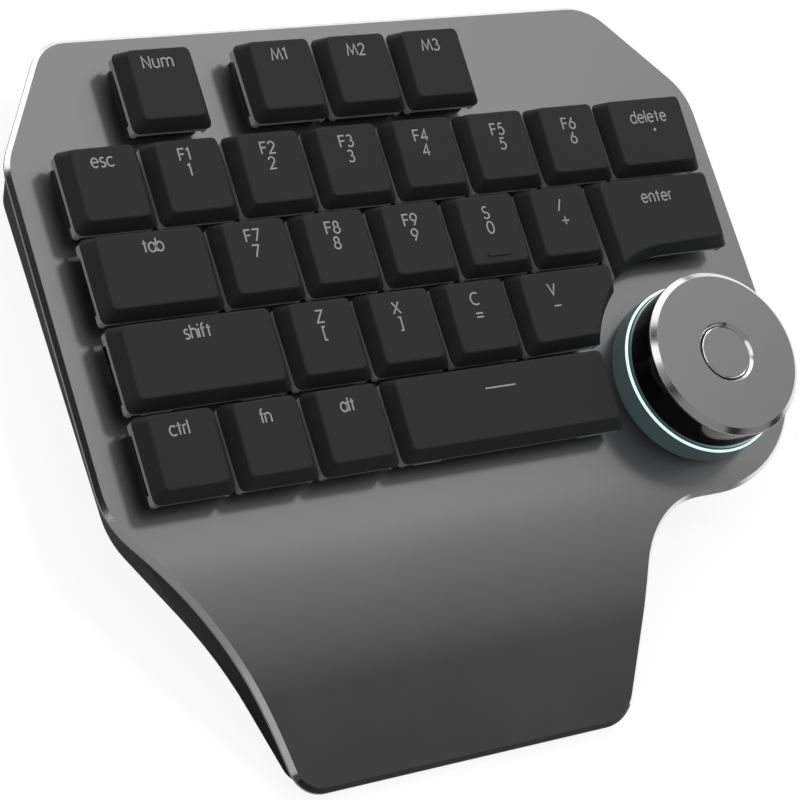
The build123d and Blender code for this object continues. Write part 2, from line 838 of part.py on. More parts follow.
def make_chip():
    """Controller chip under the board, between the rows of switches."""
    wide, deep, high = chip_size
    across, up = chip_units
    return block(across * key_pitch, up * key_pitch, wide, deep, board_under - high, board_under)


def make_usb():
    """Socket shell and its tongue, under the board at the back edge."""
    x, y, z = usb_place()
    wide, deep, high = usb_size
    from_front = (Align.CENTER, Align.MIN, Align.CENTER)
    outside = Pos(x, y, z) * Box(wide, deep, high, align=from_front)
    outside = fillet(outside.edges().filter_by(Axis.Y), usb_corner)
    inside = Pos(x, y + usb_wall, z) * Box(wide - 2 * usb_wall, deep, high - 2 * usb_wall, align=from_front)
    inside = fillet(inside.edges().filter_by(Axis.Y), usb_corner - usb_wall)
    tongue = Pos(x, y + usb_wall, z) * Box(*usb_tongue, align=from_front)
    return [outside - inside, tongue]


def make_screws():
    """Screws from below, through the base's posts into the plate's standoffs."""
    seat = foot_height + screw_head_height + screw_clearance
    screws = []
    for x, y in post_places():
        head = rod(x, y, screw_head_radius, seat - screw_head_height, seat)
        socket = rod(x, y, screw_socket_radius, seat - screw_head_height - overcut,
                     seat - screw_head_height + screw_socket_depth)
        screws.append(head - socket + rod(x, y, screw_radius, seat, seat + screw_reach))
    return screws


def make_standoffs():
    """Threaded sleeves pressed onto the underside of the plate."""
    under = below_bend(plate_thickness)
    sleeves = []
    for x, y in post_places():
        top = bend_height(y) - plate_thickness
        sleeve = tube(x, y, standoff_radius, screw_radius + screw_clearance,
                      top - standoff_length, top + overcut)
        sleeves.append(sleeve & under)
    return sleeves


def make_feet():
    """Round rubber feet, seated in shallow recesses of the base."""
    return [rod(x, y, foot_radius - slide_clearance, 0.0, foot_height + foot_seat) for x, y in foot_places()]


def write(node, pieces):
    """Write one node's solids, moved so that the origin is under the middle."""
    solids = []
    for piece in pieces:
        solids.extend((origin_shift * piece).solids())
    export_step(Compound(children=solids), f"parts/{node}.step")


def main():
    os.makedirs("parts", exist_ok=True)
    keys = key_list()
    write("top_plate", [make_plate()])
    write("base_shell", [make_base()])
    write("main_board", [make_board()])
    for row in range(5):
        write(f"switch_bases_row_{row + 1}", [make_switch_base(k) for k in keys if k[4] == row])
    write("switch_covers", [make_switch_cover(k) for k in keys])
    write("switch_springs", [make_spring(k) for k in keys])
    plain_keys = {}
    for key in keys:
        write(key[0], make_key(key, plain_keys))
    blocks = []
    for key in keys:
        if key[0] in stabilised():
            blocks.extend(make_stabiliser_blocks(key))
            write(key[0].replace("key_", "stabiliser_wire_"), [make_wire(key)])
    write("stabiliser_housings", blocks)
    write("dial_base_ring", [make_base_ring()])
    write("dial_light_ring", [make_light_ring()])
    write("ring_led_board", [make_led_board()])
    write("ring_leds", make_leds())
    write("encoder_body", [make_encoder()])
    write("encoder_shaft", [make_shaft()])
    write("dial_skirt", [make_skirt()])
    write("dial_cap", [make_dial_cap()])
    write("dial_button", [make_button()])
    write("button_plunger", [make_plunger()])
    write("button_spring", [make_button_spring()])
    write("tact_switch", [make_tact()])
    write("controller_chip", [make_chip()])
    write("usb_socket", make_usb())
    write("case_screws", make_screws())
    write("plate_standoffs", make_standoffs())
    write("rubber_feet", make_feet())


if __name__ == "__main__":
    main()
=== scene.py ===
import math
import bmesh
import bpy
import numpy as np
from mathutils import Matrix, Vector


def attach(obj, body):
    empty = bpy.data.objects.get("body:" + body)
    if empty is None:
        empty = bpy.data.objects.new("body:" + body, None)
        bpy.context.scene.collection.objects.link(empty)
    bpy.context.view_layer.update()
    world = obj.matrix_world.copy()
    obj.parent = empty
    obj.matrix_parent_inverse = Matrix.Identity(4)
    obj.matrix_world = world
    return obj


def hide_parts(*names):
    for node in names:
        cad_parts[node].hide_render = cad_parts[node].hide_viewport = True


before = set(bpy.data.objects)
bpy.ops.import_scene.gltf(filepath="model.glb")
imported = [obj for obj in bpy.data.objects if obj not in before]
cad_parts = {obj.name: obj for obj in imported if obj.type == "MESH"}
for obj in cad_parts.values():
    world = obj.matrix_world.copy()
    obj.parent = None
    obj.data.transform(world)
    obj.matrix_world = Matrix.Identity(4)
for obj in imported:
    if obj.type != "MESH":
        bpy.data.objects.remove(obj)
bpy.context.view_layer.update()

# Case. One black plastic shell, moulded with a fine matt grain. Its walls lean
# inwards to the desk, and it is screwed up against the plate from below.
case_black = (0.006, 0.006, 0.0063)
mm_in_metre = 1000.0
slow_noise_scale = 45.0
slow_noise_detail = 5.0
fine_noise_detail = 2.0
shade_stops = (0.3, 0.7)
weld_distance = 1e-6
smooth_below = math.radians(30)


def finish(name, colour, roughness, metal=0.0, grain=0.3, relief=0.002, wander=0.08, **steady):
    """Finish of one material. Slow noise lets colour and roughness wander by a
    share of themselves. Fine noise as wide as the grain lifts the surface by
    relief; both are in mm. Steady settings go straight onto the shader."""
    made = bpy.data.materials.new(name)
    made.use_nodes = True
    nodes, links = made.node_tree.nodes, made.node_tree.links
    shader = nodes["Principled BSDF"]
    place = nodes.new("ShaderNodeTexCoord")
    slow = nodes.new("ShaderNodeTexNoise")
    slow.inputs["Scale"].default_value = slow_noise_scale
    slow.inputs["Detail"].default_value = slow_noise_detail
    links.new(place.outputs["Object"], slow.inputs["Vector"])
    shades = nodes.new("ShaderNodeValToRGB")
    shares = (1 - wander, 1 + wander)
    for stop, at, share in zip(shades.color_ramp.elements, shade_stops, shares):
        stop.position = at
        stop.color = (*(min(c * share, 1.0) for c in colour), 1.0)
    links.new(slow.outputs["Fac"], shades.inputs["Fac"])
    links.new(shades.outputs["Color"], shader.inputs["Base Color"])
    polish = nodes.new("ShaderNodeMapRange")
    polish.inputs["To Min"].default_value = roughness * (1 - wander)
    polish.inputs["To Max"].default_value = min(roughness * (1 + wander), 1.0)
    links.new(slow.outputs["Fac"], polish.inputs["Value"])
    links.new(polish.outputs["Result"], shader.inputs["Roughness"])
    fine = nodes.new("ShaderNodeTexNoise")
    fine.inputs["Scale"].default_value = mm_in_metre / grain
    fine.inputs["Detail"].default_value = fine_noise_detail
    links.new(place.outputs["Object"], fine.inputs["Vector"])
    lift = nodes.new("ShaderNodeBump")
    lift.inputs["Distance"].default_value = relief / mm_in_metre
    links.new(fine.outputs["Fac"], lift.inputs["Height"])
    links.new(lift.outputs["Normal"], shader.inputs["Normal"])
    shader.inputs["Metallic"].default_value = metal
    for setting, value in steady.items():
        socket = setting.replace("_", " ").title().replace("Ior", "IOR")
        shader.inputs[socket].default_value = value
    return made


def welded_copy(node, name, *finishes):
    """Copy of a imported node's mesh with its loose triangles joined, shaded
    smooth wherever two faces meet at less than smooth_below."""
    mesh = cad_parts[node].data.copy()
    mesh.name = name
    if "custom_normal" in mesh.attributes:
        mesh.attributes.remove(mesh.attributes["custom_normal"])
    work = bmesh.new()
    work.from_mesh(mesh)
    bmesh.ops.remove_doubles(work, verts=work.verts, dist=weld_distance)
    work.to_mesh(mesh)
    work.free()
    mesh.shade_smooth()
    mesh.set_sharp_from_angle(angle=smooth_below)
    mesh.materials.clear()
    for each in finishes:
        mesh.materials.append(each)
    piece = bpy.data.objects.new(name, mesh)
    bpy.context.scene.collection.objects.link(piece)
    return piece


def even_shading(piece):
    """Lets the large faces keep their own flat shading beside small rounded edges."""
    piece.modifiers.new("even_shading", "WEIGHTED_NORMAL").keep_sharp = True


case_grain = finish("case_grain", case_black, 0.7, grain=0.5, relief=0.01,
                    specular_ior_level=0.08)
case = welded_copy("base_shell", "case_shell", case_grain)
even_shading(case)
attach(case, "keyboard")
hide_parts("base_shell")

# Underside and inside. Rubber feet are glued into seats of the case, steel
# screws hold it to brass sleeves, and the green board carries a chip, the
# socket, the encoder and a small ring-shaped board of lamps.


def dress(node, made):
    """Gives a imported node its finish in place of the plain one."""
    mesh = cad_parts[node].data
    mesh.materials.clear()
    mesh.materials.append(made)


rubber = finish("foot_rubber", (0.02, 0.02, 0.02), 0.85, grain=0.4, relief=0.01)
plated_steel = finish("plated_steel", (0.56, 0.56, 0.57), 0.28, metal=1.0, grain=0.15,
                      relief=0.001)
turned_brass = finish("turned_brass", (0.72, 0.55, 0.26), 0.3, metal=1.0, grain=0.1,
                      relief=0.001)
solder_mask = finish("solder_mask", (0.015, 0.06, 0.03), 0.35, grain=1.2, relief=0.006,
                     wander=0.25)
moulded_chip = finish("moulded_chip", (0.02, 0.02, 0.02), 0.5, grain=0.1, relief=0.002)
lamp_lens = finish("lamp_lens", (0.85, 0.85, 0.78), 0.25, grain=0.5, relief=0.001)
encoder_black = finish("encoder_black", (0.03, 0.03, 0.03), 0.5, grain=0.3, relief=0.003)
spring_wire = finish("spring_wire", (0.55, 0.55, 0.56), 0.3, metal=1.0, grain=0.1, relief=0.001)
for node, made in {
    "rubber_feet": rubber, "case_screws": plated_steel, "usb_socket": plated_steel,
    "encoder_shaft": plated_steel, "plate_standoffs": turned_brass, "main_board": solder_mask,
    "ring_led_board": solder_mask, "controller_chip": moulded_chip, "ring_leds": lamp_lens,
    "encoder_body": encoder_black, "tact_switch": encoder_black, "button_plunger": encoder_black,
    "switch_springs": spring_wire, "button_spring": spring_wire,
    "stabiliser_wire_shift": spring_wire, "stabiliser_wire_space": spring_wire,
}.items():
    dress(node, made)

# Top plate. One sheet of aluminium, cut out, bent down over the palm, bead
# blasted and anodised dark grey; its outer edge is then milled to a bright
# chamfer, painted dark along the palm's front as painted shade. Places are in metres.
plate_grey = (0.172, 0.172, 0.175)
bright_metal = (0.8, 0.8, 0.81)
keys_front = -0.022425
bend_before_keys = 0.009
bend_begins = keys_front - bend_before_keys
bend_radius = 0.090
bend_turn = math.radians(20)
palm_front = -0.070
sheet_upright = 0.92
chamfer_least, chamfer_most = 0.3, 0.9
towards_user = -0.6
blasted = finish("blasted_aluminium", plate_grey, 0.434, metal=1.0, grain=0.22, relief=0.0012,
                 wander=0.03)
milled_edge = finish("milled_edge", bright_metal, 0.18, metal=1.0, grain=1.0, relief=0.0001,
                     wander=0.05)
# Dark copy of the milled edge for the palm's front chamfer: painted shade.
painted_shade_edge = finish("painted_shade_edge", (0.035, 0.035, 0.036), 0.5, metal=1.0, grain=0.22,
                   relief=0.0012, wander=0.03)
plate = welded_copy("top_plate", "top_plate_aluminium", blasted, milled_edge, painted_shade_edge)


def face_normals(mesh):
    """Unit normals of a mesh's faces, one row each."""
    facing = np.empty(len(mesh.polygons) * 3, np.float32)
    mesh.polygons.foreach_get("normal", facing)
    return facing.reshape(-1, 3)


def shade_bent_sheet(mesh):
    """Normals of the bent sheet: on the level part straight up, over the bend
    leaning forwards by the arc sine of (distance past the bend's start over its
    radius), and after it by the full turn. Chamfer faces get the second finish,
    and the palm's front edge the third, a dark copy of it that is painted shade."""
    faces = len(mesh.polygons)
    facing = face_normals(mesh)
    middles = np.empty(faces * 3, np.float32)
    mesh.polygons.foreach_get("center", middles)
    sizes = np.empty(faces, np.int32)
    mesh.polygons.foreach_get("loop_total", sizes)
    owner = np.repeat(np.arange(faces), sizes)
    corners = np.empty(len(mesh.loops), np.int32)
    mesh.loops.foreach_get("vertex_index", corners)
    spots = np.empty(len(mesh.vertices) * 3, np.float32)
    mesh.vertices.foreach_get("co", spots)
    past = bend_begins - spots.reshape(-1, 3)[corners, 1]
    lean = np.arcsin(np.clip(past / bend_radius, 0.0, math.sin(bend_turn)))
    normals = np.array([n.vector for n in mesh.corner_normals], np.float32)
    side = np.sign(facing[owner, 2])
    sheet = np.abs(facing[owner, 2]) > sheet_upright
    straight = np.stack([0 * lean, -np.sin(lean) * side, np.cos(lean) * side], 1)
    normals[sheet] = straight[sheet]
    mesh.normals_split_custom_set(normals.tolist())
    chamfer = (facing[:, 2] > chamfer_least) & (facing[:, 2] < chamfer_most)
    # Chamfer faces along the palm's front, painted dark as painted shade.
    painted_shade_front = chamfer & (facing[:, 1] < towards_user) & (middles[1::3] < palm_front)
    mesh.polygons.foreach_set("material_index", (chamfer + 1 * painted_shade_front).astype(np.int32))


shade_bent_sheet(plate.data)
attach(plate, "keyboard")
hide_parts("top_plate")

# Switches and stabilisers. Black moulded switches are clipped into the plate
# under every key; milky housings beside the two longest keys hold bent wires.
switch_black = finish("switch_black", (0.03, 0.03, 0.03), 0.55, grain=0.25, relief=0.003)
cover_black = finish("cover_black", (0.045, 0.045, 0.045), 0.4, grain=0.25, relief=0.002)
milky = finish("milky_plastic", (0.74, 0.75, 0.76), 0.3, grain=0.4, relief=0.002, wander=0.04)
for row in range(1, 6):
    dress(f"switch_bases_row_{row}", switch_black)
dress("switch_covers", cover_black)
dress("stabiliser_housings", milky)

# Keycaps. Hollow blocks of satin black plastic on the switches' stems. Each has
# sloping sides and a flat top that slants towards the user; the two beside the
# dial are hollowed in a curve round it. Sizes up to the studio are millimetres.
pitch = 19.05
gap = 0.65
back_row_gap = 1.7
back_row = 4 * pitch + back_row_gap
rim_height = 21.0
top_height = 24.5
ceiling = 23.0
front_fall = 0.7
side_slope, front_slope, back_slope = 2.05, 2.0, 1.05
corner_ease = 1.75
top_corner_ease = 1.4
edge_ease = 0.35
rim_ease = 0.12
wall = 1.0
corner_steps, edge_steps, curve_steps = 6, 5, 33
curve_end_ease = 0.02
v_curve_radius = 26.0
dial_middle = np.array([6 * pitch + 25.1, pitch / 2 + 1.5])
drawing_to_frame = np.array([-79.6325, -22.425, 0.0])
# Each key: its left side in pitches, its row from the front, its width in pitches.
keys = {
    "ctrl": (0, 0, 1), "fn": (1, 0, 1), "alt": (2, 0, 1), "space": (3, 0, 3),
    "shift": (0, 1, 2), "z": (2, 1, 1), "x": (3, 1, 1), "c": (4, 1, 1), "v": (5, 1, 1.5),
    "tab": (0, 2, 1.5), "f7": (1.5, 2, 1), "f8": (2.5, 2, 1), "f9": (3.5, 2, 1),
    "s": (4.5, 2, 1), "slash": (5.5, 2, 1), "enter": (6.5, 2, 1.8),
    "esc": (0, 3, 1), "f1": (1, 3, 1), "f2": (2, 3, 1), "f3": (3, 3, 1), "f4": (4, 3, 1),
    "f5": (5, 3, 1), "f6": (6, 3, 1), "delete": (7, 3, 1.3),
    "num": (1, 4, 1), "m1": (2.5, 4, 1), "m2": (3.5, 4, 1), "m3": (4.5, 4, 1),
}


def front_line(row):
    """Front of a row: one pitch per row, and for the back row a gap more."""
    return back_row if row == 4 else row * pitch


def bent(start, corner, end, t):
    """Curve (1-t)^2 P + 2t(1-t) C + t^2 Q from P to Q, drawn towards corner C."""
    return (1 - t) ** 2 * start + 2 * t * (1 - t) * corner + t ** 2 * end


def eased(corners, ease):
    """Closed outline whose corners are rounded, each between points at the
    eased distance before and after it."""
    corners = np.asarray(corners, float)
    ease = np.broadcast_to(ease, len(corners))[:, None]
    before = np.roll(corners, 1, 0) - corners
    after = np.roll(corners, -1, 0) - corners
    start = corners + before / np.linalg.norm(before, axis=1)[:, None] * ease
    end = corners + after / np.linalg.norm(after, axis=1)[:, None] * ease
    return bent(start[:, None], corners[:, None], end[:, None],
                np.linspace(0, 1, corner_steps)[None, :, None])


def cap_edge(name, at_top, shrink):
    """Edge of a keycap, anticlockwise from its front left corner, moved in by
    shrink: at the rim, or round the top, whose height falls evenly from back to
    front. The curve round the dial keeps a radius that grows with the height."""
    left, row, units = keys[name]
    x_low = left * pitch + gap / 2 + shrink + side_slope * at_top
    x_high = (left + units) * pitch - gap / 2 - shrink - side_slope * at_top
    y_low = front_line(row) + gap / 2 + shrink + front_slope * at_top
    y_high = front_line(row) + pitch - gap / 2 - shrink - back_slope * at_top
    run = y_high - y_low
    fall = front_fall / run
    height = rim_height + (top_height - rim_height) * at_top
    slope = front_slope / (top_height - rim_height)
    ease = corner_ease + (top_corner_ease - corner_ease) * at_top
    if name in ("v", "enter"):
        rim_radius = v_curve_radius
        if name == "enter":
            rim_radius = front_line(row) + gap / 2 - dial_middle[1]
        radius = rim_radius + shrink + slope * (height - rim_height)

        def curve(first, last):
            """Points round the dial between two angles. The reach is the radius at
            the height there; that height falls with the reach, so it is solved for."""
            angle = np.linspace(first, last, curve_steps)
            lean = slope * fall * at_top
            reach = (radius - lean * (y_high - dial_middle[1])) / (1 - lean * np.sin(angle))
            return dial_middle + reach[:, None] * np.stack([np.cos(angle), np.sin(angle)], 1)

        if name == "v":
            arc = curve(math.pi - math.asin((y_low - dial_middle[1]) / radius),
                        math.pi - math.acos((dial_middle[0] - x_high) / radius))
            corners = [(x_low, y_low), tuple(arc[0]), tuple(arc[-1]), (x_high, y_high),
                       (x_low, y_high)]
        else:
            arc = curve(math.pi - math.acos((dial_middle[0] - x_low) / radius), math.pi / 2)
            corners = [tuple(arc[0]), tuple(arc[-1]), (x_high, y_low), (x_high, y_high),
                       (x_low, y_high)]
        eases = [ease] * 5
        at = 1 if name == "v" else 0
        eases[at] = eases[at + 1] = curve_end_ease
        rounded = eased(corners, eases)
        edge = np.concatenate([*rounded[:at], arc[1:-1], *rounded[at + 2:]])
    else:
        edge = eased([(x_low, y_low), (x_high, y_low), (x_high, y_high), (x_low, y_high)],
                     ease).reshape(-1, 2)
    z = height - at_top * fall * (y_high - edge[:, 1])
    return np.column_stack([edge, z])


def skin(rings, loop=False):
    """Closed surface through rings of points, shaped (levels, around, 3). Each
    ring is joined to the next by four-sided faces. The end rings are filled, or
    joined to each other where the levels form a loop."""
    levels, around = rings.shape[:2]
    index = np.arange(levels * around).reshape(levels, around)
    if loop:
        index = np.concatenate([index, index[:1]])
    beside = np.roll(index, -1, 1)
    faces = np.stack([index[:-1], beside[:-1], beside[1:], index[1:]], -1).reshape(-1, 4).tolist()
    if not loop:
        faces += [index[0, ::-1].tolist(), index[-1].tolist()]
    return rings.reshape(-1, 3), faces


def new_piece(name, skins, made):
    """One mesh object from closed surfaces in drawing millimetres."""
    points = []
    faces = []
    count = 0
    for spots, sides in skins:
        faces += [[count + i for i in side] for side in sides]
        points.append(spots)
        count += len(spots)
    mesh = bpy.data.meshes.new(name)
    places = (np.concatenate(points) + drawing_to_frame) / mm_in_metre
    mesh.from_pydata(places.tolist(), [], faces)
    mesh.shade_smooth()
    mesh.materials.append(made)
    piece = bpy.data.objects.new(name, mesh)
    bpy.context.scene.collection.objects.link(piece)
    return piece


def cap_rings(name):
    """Levels of a hollow cap: ceiling, inner wall, rim, outer wall, eased top
    edge, top. A wall point is rim + share * (top - rim)."""
    rim, top = cap_edge(name, 0.0, 0.0), cap_edge(name, 1.0, 0.0)
    inner_rim, inner_top = cap_edge(name, 0.0, wall), cap_edge(name, 1.0, wall)
    share = (ceiling - rim_height) / (top_height - rim_height)
    inner = inner_rim + share * (inner_top - inner_rim)
    inner[:, 2] = ceiling
    slant = edge_ease / np.linalg.norm(top - rim, axis=1)[:, None]
    below = top - slant * (top - rim)
    within = cap_edge(name, 1.0, edge_ease)
    edge = bent(below, top, within, np.linspace(0, 1, edge_steps)[:, None, None])
    lift = np.array([0.0, 0.0, rim_ease])
    under = cap_edge(name, 0.0, rim_ease)
    return np.concatenate([[inner, inner_rim, under, rim + lift], edge])


def place_of(name, part):
    """Name of one part of a key."""
    return f"key_{name}_{part}"


def raised_bar(name):
    """Bar near a cap's front edge: its outline carried up through three levels.
    The last is narrowed to a share across, and along by a part of that."""
    left, row, units = keys[name]
    middle = np.array([(left + units / 2) * pitch,
                       front_line(row) + gap / 2 + front_slope + bar_back])
    square = np.array([(-1, -1), (1, -1), (1, 1), (-1, 1)])
    ridge = eased(square * (bar_long / 2, bar_wide / 2), bar_ease).reshape(-1, 2)
    foot = top_height - front_fall
    levels = [(1.0, foot - bar_root), (1.0, foot + bar_high - bar_round),
              (bar_top_share, foot + bar_high)]
    return skin(np.stack([
        np.column_stack([middle + ridge * (1 - (1 - share) * bar_end_draw, share),
                         np.full(len(ridge), height)])
        for share, height in levels]))


bar_long, bar_wide, bar_high, bar_back = 6.0, 0.7, 0.35, 1.9
bar_root, bar_round, bar_ease = 0.3, 0.1, 0.3
bar_top_share, bar_end_draw = 0.97, 0.15
cap_black = finish("cap_black", (0.032, 0.032, 0.0325), 0.55, grain=0.35, relief=0.0015,
                   wander=0.05, specular_ior_level=0.2)
for name in keys:
    skins = [skin(cap_rings(name))]
    if name == "s":
        skins.append(raised_bar(name))
    cap = new_piece(place_of(name, "cap"), skins, cap_black)
    even_shading(cap)
    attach(cap, f"key_{name}")
    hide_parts(f"key_{name}")

# Inside of each key. A clear white liner moulded into the cap, whose skirt and
# feet show under the rim, and the stem of the switch that holds it up; the two
# longest keys also have posts for their stabilisers.
# The liner glows faintly: painted light that lifts its edges in the caps' shade.
liner_white_painted_glow = finish("liner_white_painted_glow", (0.6, 0.61, 0.62), 0.2, grain=0.4, relief=0.002,
                     wander=0.05, emission_color=(0.95, 1.0, 1.0, 1.0), emission_strength=0.01)


def islands(work):
    """Number of the connected island that each vertex lies in: the lowest index
    there, passed on along the edges until nothing changes."""
    ends = np.array([[v.index for v in e.verts] for e in work.edges])
    island = np.arange(len(work.verts))
    settled = False
    while not settled:
        lower = island.copy()
        least = np.minimum(island[ends[:, 0]], island[ends[:, 1]])
        np.minimum.at(lower, ends[:, 0], least)
        np.minimum.at(lower, ends[:, 1], least)
        settled = bool((lower == island).all())
        island = lower
    return island


def keep_inside(mesh):
    """Takes the cap, the highest island, off a key's mesh. The widest island
    left is the liner, with the first finish; stem and posts get the second."""
    work = bmesh.new()
    work.from_mesh(mesh)
    work.verts.ensure_lookup_table()
    island = islands(work)
    spots = np.array([v.co for v in work.verts])
    high = {i: spots[island == i, 2].max() for i in np.unique(island)}
    wide = {i: np.ptp(spots[island == i, 0]) for i in high}
    cap_island = max(high, key=high.get)
    del wide[cap_island]
    liner_island = max(wide, key=wide.get)
    for face in work.faces:
        face.material_index = 0 if island[face.verts[0].index] == liner_island else 1
    outside = [v for v in work.verts if island[v.index] == cap_island]
    bmesh.ops.delete(work, geom=outside, context="VERTS")
    work.to_mesh(mesh)
    work.free()


for name in keys:
    inside = welded_copy(f"key_{name}", place_of(name, "liner"), liner_white_painted_glow, switch_black)
    keep_inside(inside.data)
    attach(inside, f"key_{name}")

# Key marks. Thin upright letters and digits in light grey, rooted in the tops
# and a hair above them; every stroke has one width.
stroke_width = 0.34
mark_rise = 0.02
mark_root = 0.06
capital, small, tall = 2.55, 1.95, 2.83
letter_gap = 0.5
bow_least_points, degrees_a_point = 4, 14
joint_distance = 1e-6
least_cosine = 0.45


def run(*xy):
    """Straight run through points."""
    return np.array(xy, float).reshape(-1, 2)


def bow(x, y, rx, ry, first, last):
    """Curve x + rx cos a, y + ry sin a between two angles in degrees."""
    points = bow_least_points + int(abs(last - first) / degrees_a_point)
    a = np.radians(np.linspace(first, last, points))
    return np.stack([x + rx * np.cos(a), y + ry * np.sin(a)], 1)


def joined(*parts):
    """One stroke from parts that are drawn one after the other."""
    return np.concatenate(parts)


# Each letter: its width and its strokes, from its lower left corner.
bowl = bow(0.73, 0.97, 0.73, 0.98, 0, 360)
arch = joined(bow(0.65, 1.27, 0.65, 0.68, 180, 0), run(1.3, 0))
letters = {
    "N": (1.65, [run(0, 0, 0, capital, 1.65, 0, 1.65, capital)]),
    "M": (2.5, [run(0, 0, 0.42, capital, 1.25, 0.3, 2.08, capital, 2.5, 0)]),
    "F": (1.35, [run(1.35, capital, 0, capital, 0, 0), run(0, 1.36, 1.2, 1.36)]),
    "S": (1.5, [joined(bow(0.75, 1.95, 0.6, 0.65, 42, 265),
                       bow(0.75, 0.65, 0.75, 0.68, 85, -150))]),
    "Z": (1.65, [run(0.05, capital, 1.6, capital, 0, 0, 1.65, 0)]),
    "X": (1.75, [run(0.05, capital, 1.75, 0), run(1.7, capital, 0, 0)]),
    "C": (1.76, [bow(1.2, 1.28, 1.2, 1.32, 55, 305)]),
    "V": (1.75, [run(0, capital, 0.87, 0.05, 1.75, capital)]),
    "a": (1.46, [bowl, run(1.46, small, 1.46, 0)]),
    "b": (1.46, [bowl, run(0, tall, 0, 0)]),
    "c": (1.3, [bow(0.85, 0.97, 0.85, 0.98, 50, 310)]),
    "d": (1.46, [bowl, run(1.46, tall, 1.46, 0)]),
    "e": (1.5, [joined(run(0.03, 1.03), bow(0.75, 0.97, 0.75, 0.98, 4, 318))]),
    "f": (0.85, [joined(bow(0.82, 2.4, 0.44, 0.45, 85, 180), run(0.38, 0)),
                 run(0, 1.88, 0.85, 1.88)]),
    "h": (1.3, [run(0, tall, 0, 0), arch]),
    "i": (0.0, [run(0, small, 0, 0), run(0, 2.48, 0, 2.83)]),
    "l": (0.0, [run(0, tall, 0, 0)]),
    "m": (2.5, [run(0, small, 0, 0), arch * (0.96, 1), arch * (0.96, 1) + (1.25, 0)]),
    "n": (1.3, [run(0, small, 0, 0), arch]),
    "r": (0.66, [run(0, small, 0, 0), bow(0.6, 1.27, 0.6, 0.66, 180, 84)]),
    "s": (1.1, [joined(bow(0.56, 1.47, 0.45, 0.48, 40, 265),
                       bow(0.54, 0.48, 0.52, 0.5, 85, -145))]),
    "t": (0.9, [run(0.45, 2.5, 0.45, 0), run(0, 1.88, 0.9, 1.88)]),
    "u": (1.3, [joined(run(0, small), bow(0.65, 0.68, 0.65, 0.7, 180, 360)),
                run(1.3, small, 1.3, 0)]),
    "0": (1.6, [bow(0.8, 1.28, 0.8, 1.33, 0, 360)]),
    "1": (0.55, [run(0, 2.2, 0.5, capital, 0.5, 0)]),
    "2": (1.4, [joined(bow(0.7, 1.87, 0.68, 0.7, 168, -38), run(0, 0, 1.42, 0))]),
    "3": (1.35, [joined(bow(0.62, 1.95, 0.58, 0.62, 150, -75),
                        bow(0.6, 0.7, 0.72, 0.72, 75, -150))]),
    "4": (1.6, [run(1.15, 0, 1.15, capital, 0, 0.72, 1.6, 0.72)]),
    "5": (1.4, [joined(run(1.3, capital, 0.42, capital, 0.2, 1.42),
                       bow(0.6, 0.82, 0.78, 0.84, 110, -145))]),
    "6": (1.5, [bow(0.75, 0.78, 0.75, 0.78, 0, 360), run(0.13, 1.2, 1.0, 2.6)]),
    "7": (1.5, [run(0, capital, 1.5, capital, 0.45, 0)]),
    "8": (1.44, [bow(0.72, 1.94, 0.55, 0.62, 0, 360), bow(0.72, 0.66, 0.72, 0.68, 0, 360)]),
    "9": (1.5, [bow(0.75, 1.8, 0.75, 0.78, 0, 360), run(1.37, 1.38, 0.5, -0.02)]),
    "[": (0.62, [run(0.62, 2.85, 0, 2.85, 0, 0, 0.62, 0)]),
    "]": (0.62, [run(0, 2.85, 0.62, 2.85, 0.62, 0, 0, 0)]),
    "=": (1.76, [run(0, 0.84, 1.76, 0.84), run(0, 0, 1.76, 0)]),
    "-": (1.76, [run(0, 0, 1.76, 0)]),
    "_": (7.64, [run(0, 0, 7.64, 0)]),
    "/": (1.1, [run(0, 0, 1.1, 2.64)]),
    "+": (1.8, [run(0, 0.9, 1.8, 0.9), run(0.9, 0, 0.9, 1.8)]),
    ".": (0.0, [bow(0, 0, 0.2, 0.2, 0, 360)]),
}
# Each key's words: text, middle from the key's left, width or none, base line
# from the row's front.
marks = {
    "num": [("Num", 8.69, 6.9, 13.5)], "m1": [("M1", 8.8, None, 13.2)],
    "m2": [("M2", 8.8, None, 13.0)], "m3": [("M3", 8.8, None, 12.8)],
    "esc": [("esc", 8.84, 4.8, 13.45)], "f1": [("F1", 8.4, None, 13.2), ("1", 8.75, None, 9.8)],
    "f2": [("F2", 8.9, None, 13.0), ("2", 9.0, None, 9.6)],
    "f3": [("F3", 8.9, None, 12.85), ("3", 9.1, None, 9.45)],
    "f4": [("F4", 8.5, None, 12.6), ("4", 8.9, None, 9.2)],
    "f5": [("F5", 9.3, None, 12.4), ("5", 9.7, None, 9.0)],
    "f6": [("F6", 9.37, None, 12.2), ("6", 9.6, None, 8.8)],
    "delete": [("delete", 12.44, 9.8, 12.05), (".", 13.27, None, 10.12)],
    "tab": [("tab", 14.53, 4.55, 13.35)],
    "f7": [("F7", 8.72, None, 13.14), ("7", 8.69, None, 9.74)],
    "f8": [("F8", 8.7, None, 12.93), ("8", 8.8, None, 9.53)],
    "f9": [("F9", 8.75, None, 12.72), ("9", 8.9, None, 9.32)],
    "s": [("S", 8.86, None, 12.45), ("0", 9.07, None, 9.05)],
    "slash": [("/", 9.27, None, 12.3), ("+", 9.76, None, 9.07)],
    "enter": [("enter", 16.82, 8.25, 11.98)], "shift": [("shift", 18.64, 6.0, 13.28)],
    "z": [("Z", 8.83, None, 13.07), ("[", 9.05, None, 9.23)],
    "x": [("X", 8.19, None, 12.8), ("]", 8.25, None, 9.1)],
    "c": [("C", 8.58, None, 12.54), ("=", 8.92, None, 9.71)],
    "v": [("V", 9.7, None, 12.38), ("-", 10.04, None, 9.91)],
    "ctrl": [("ctrl", 8.52, 4.2, 13.02)], "fn": [("fn", 8.91, 2.45, 12.85)],
    "alt": [("alt", 8.92, 3.25, 12.65)], "space": [("_", 27.23, None, 13.0)],
}


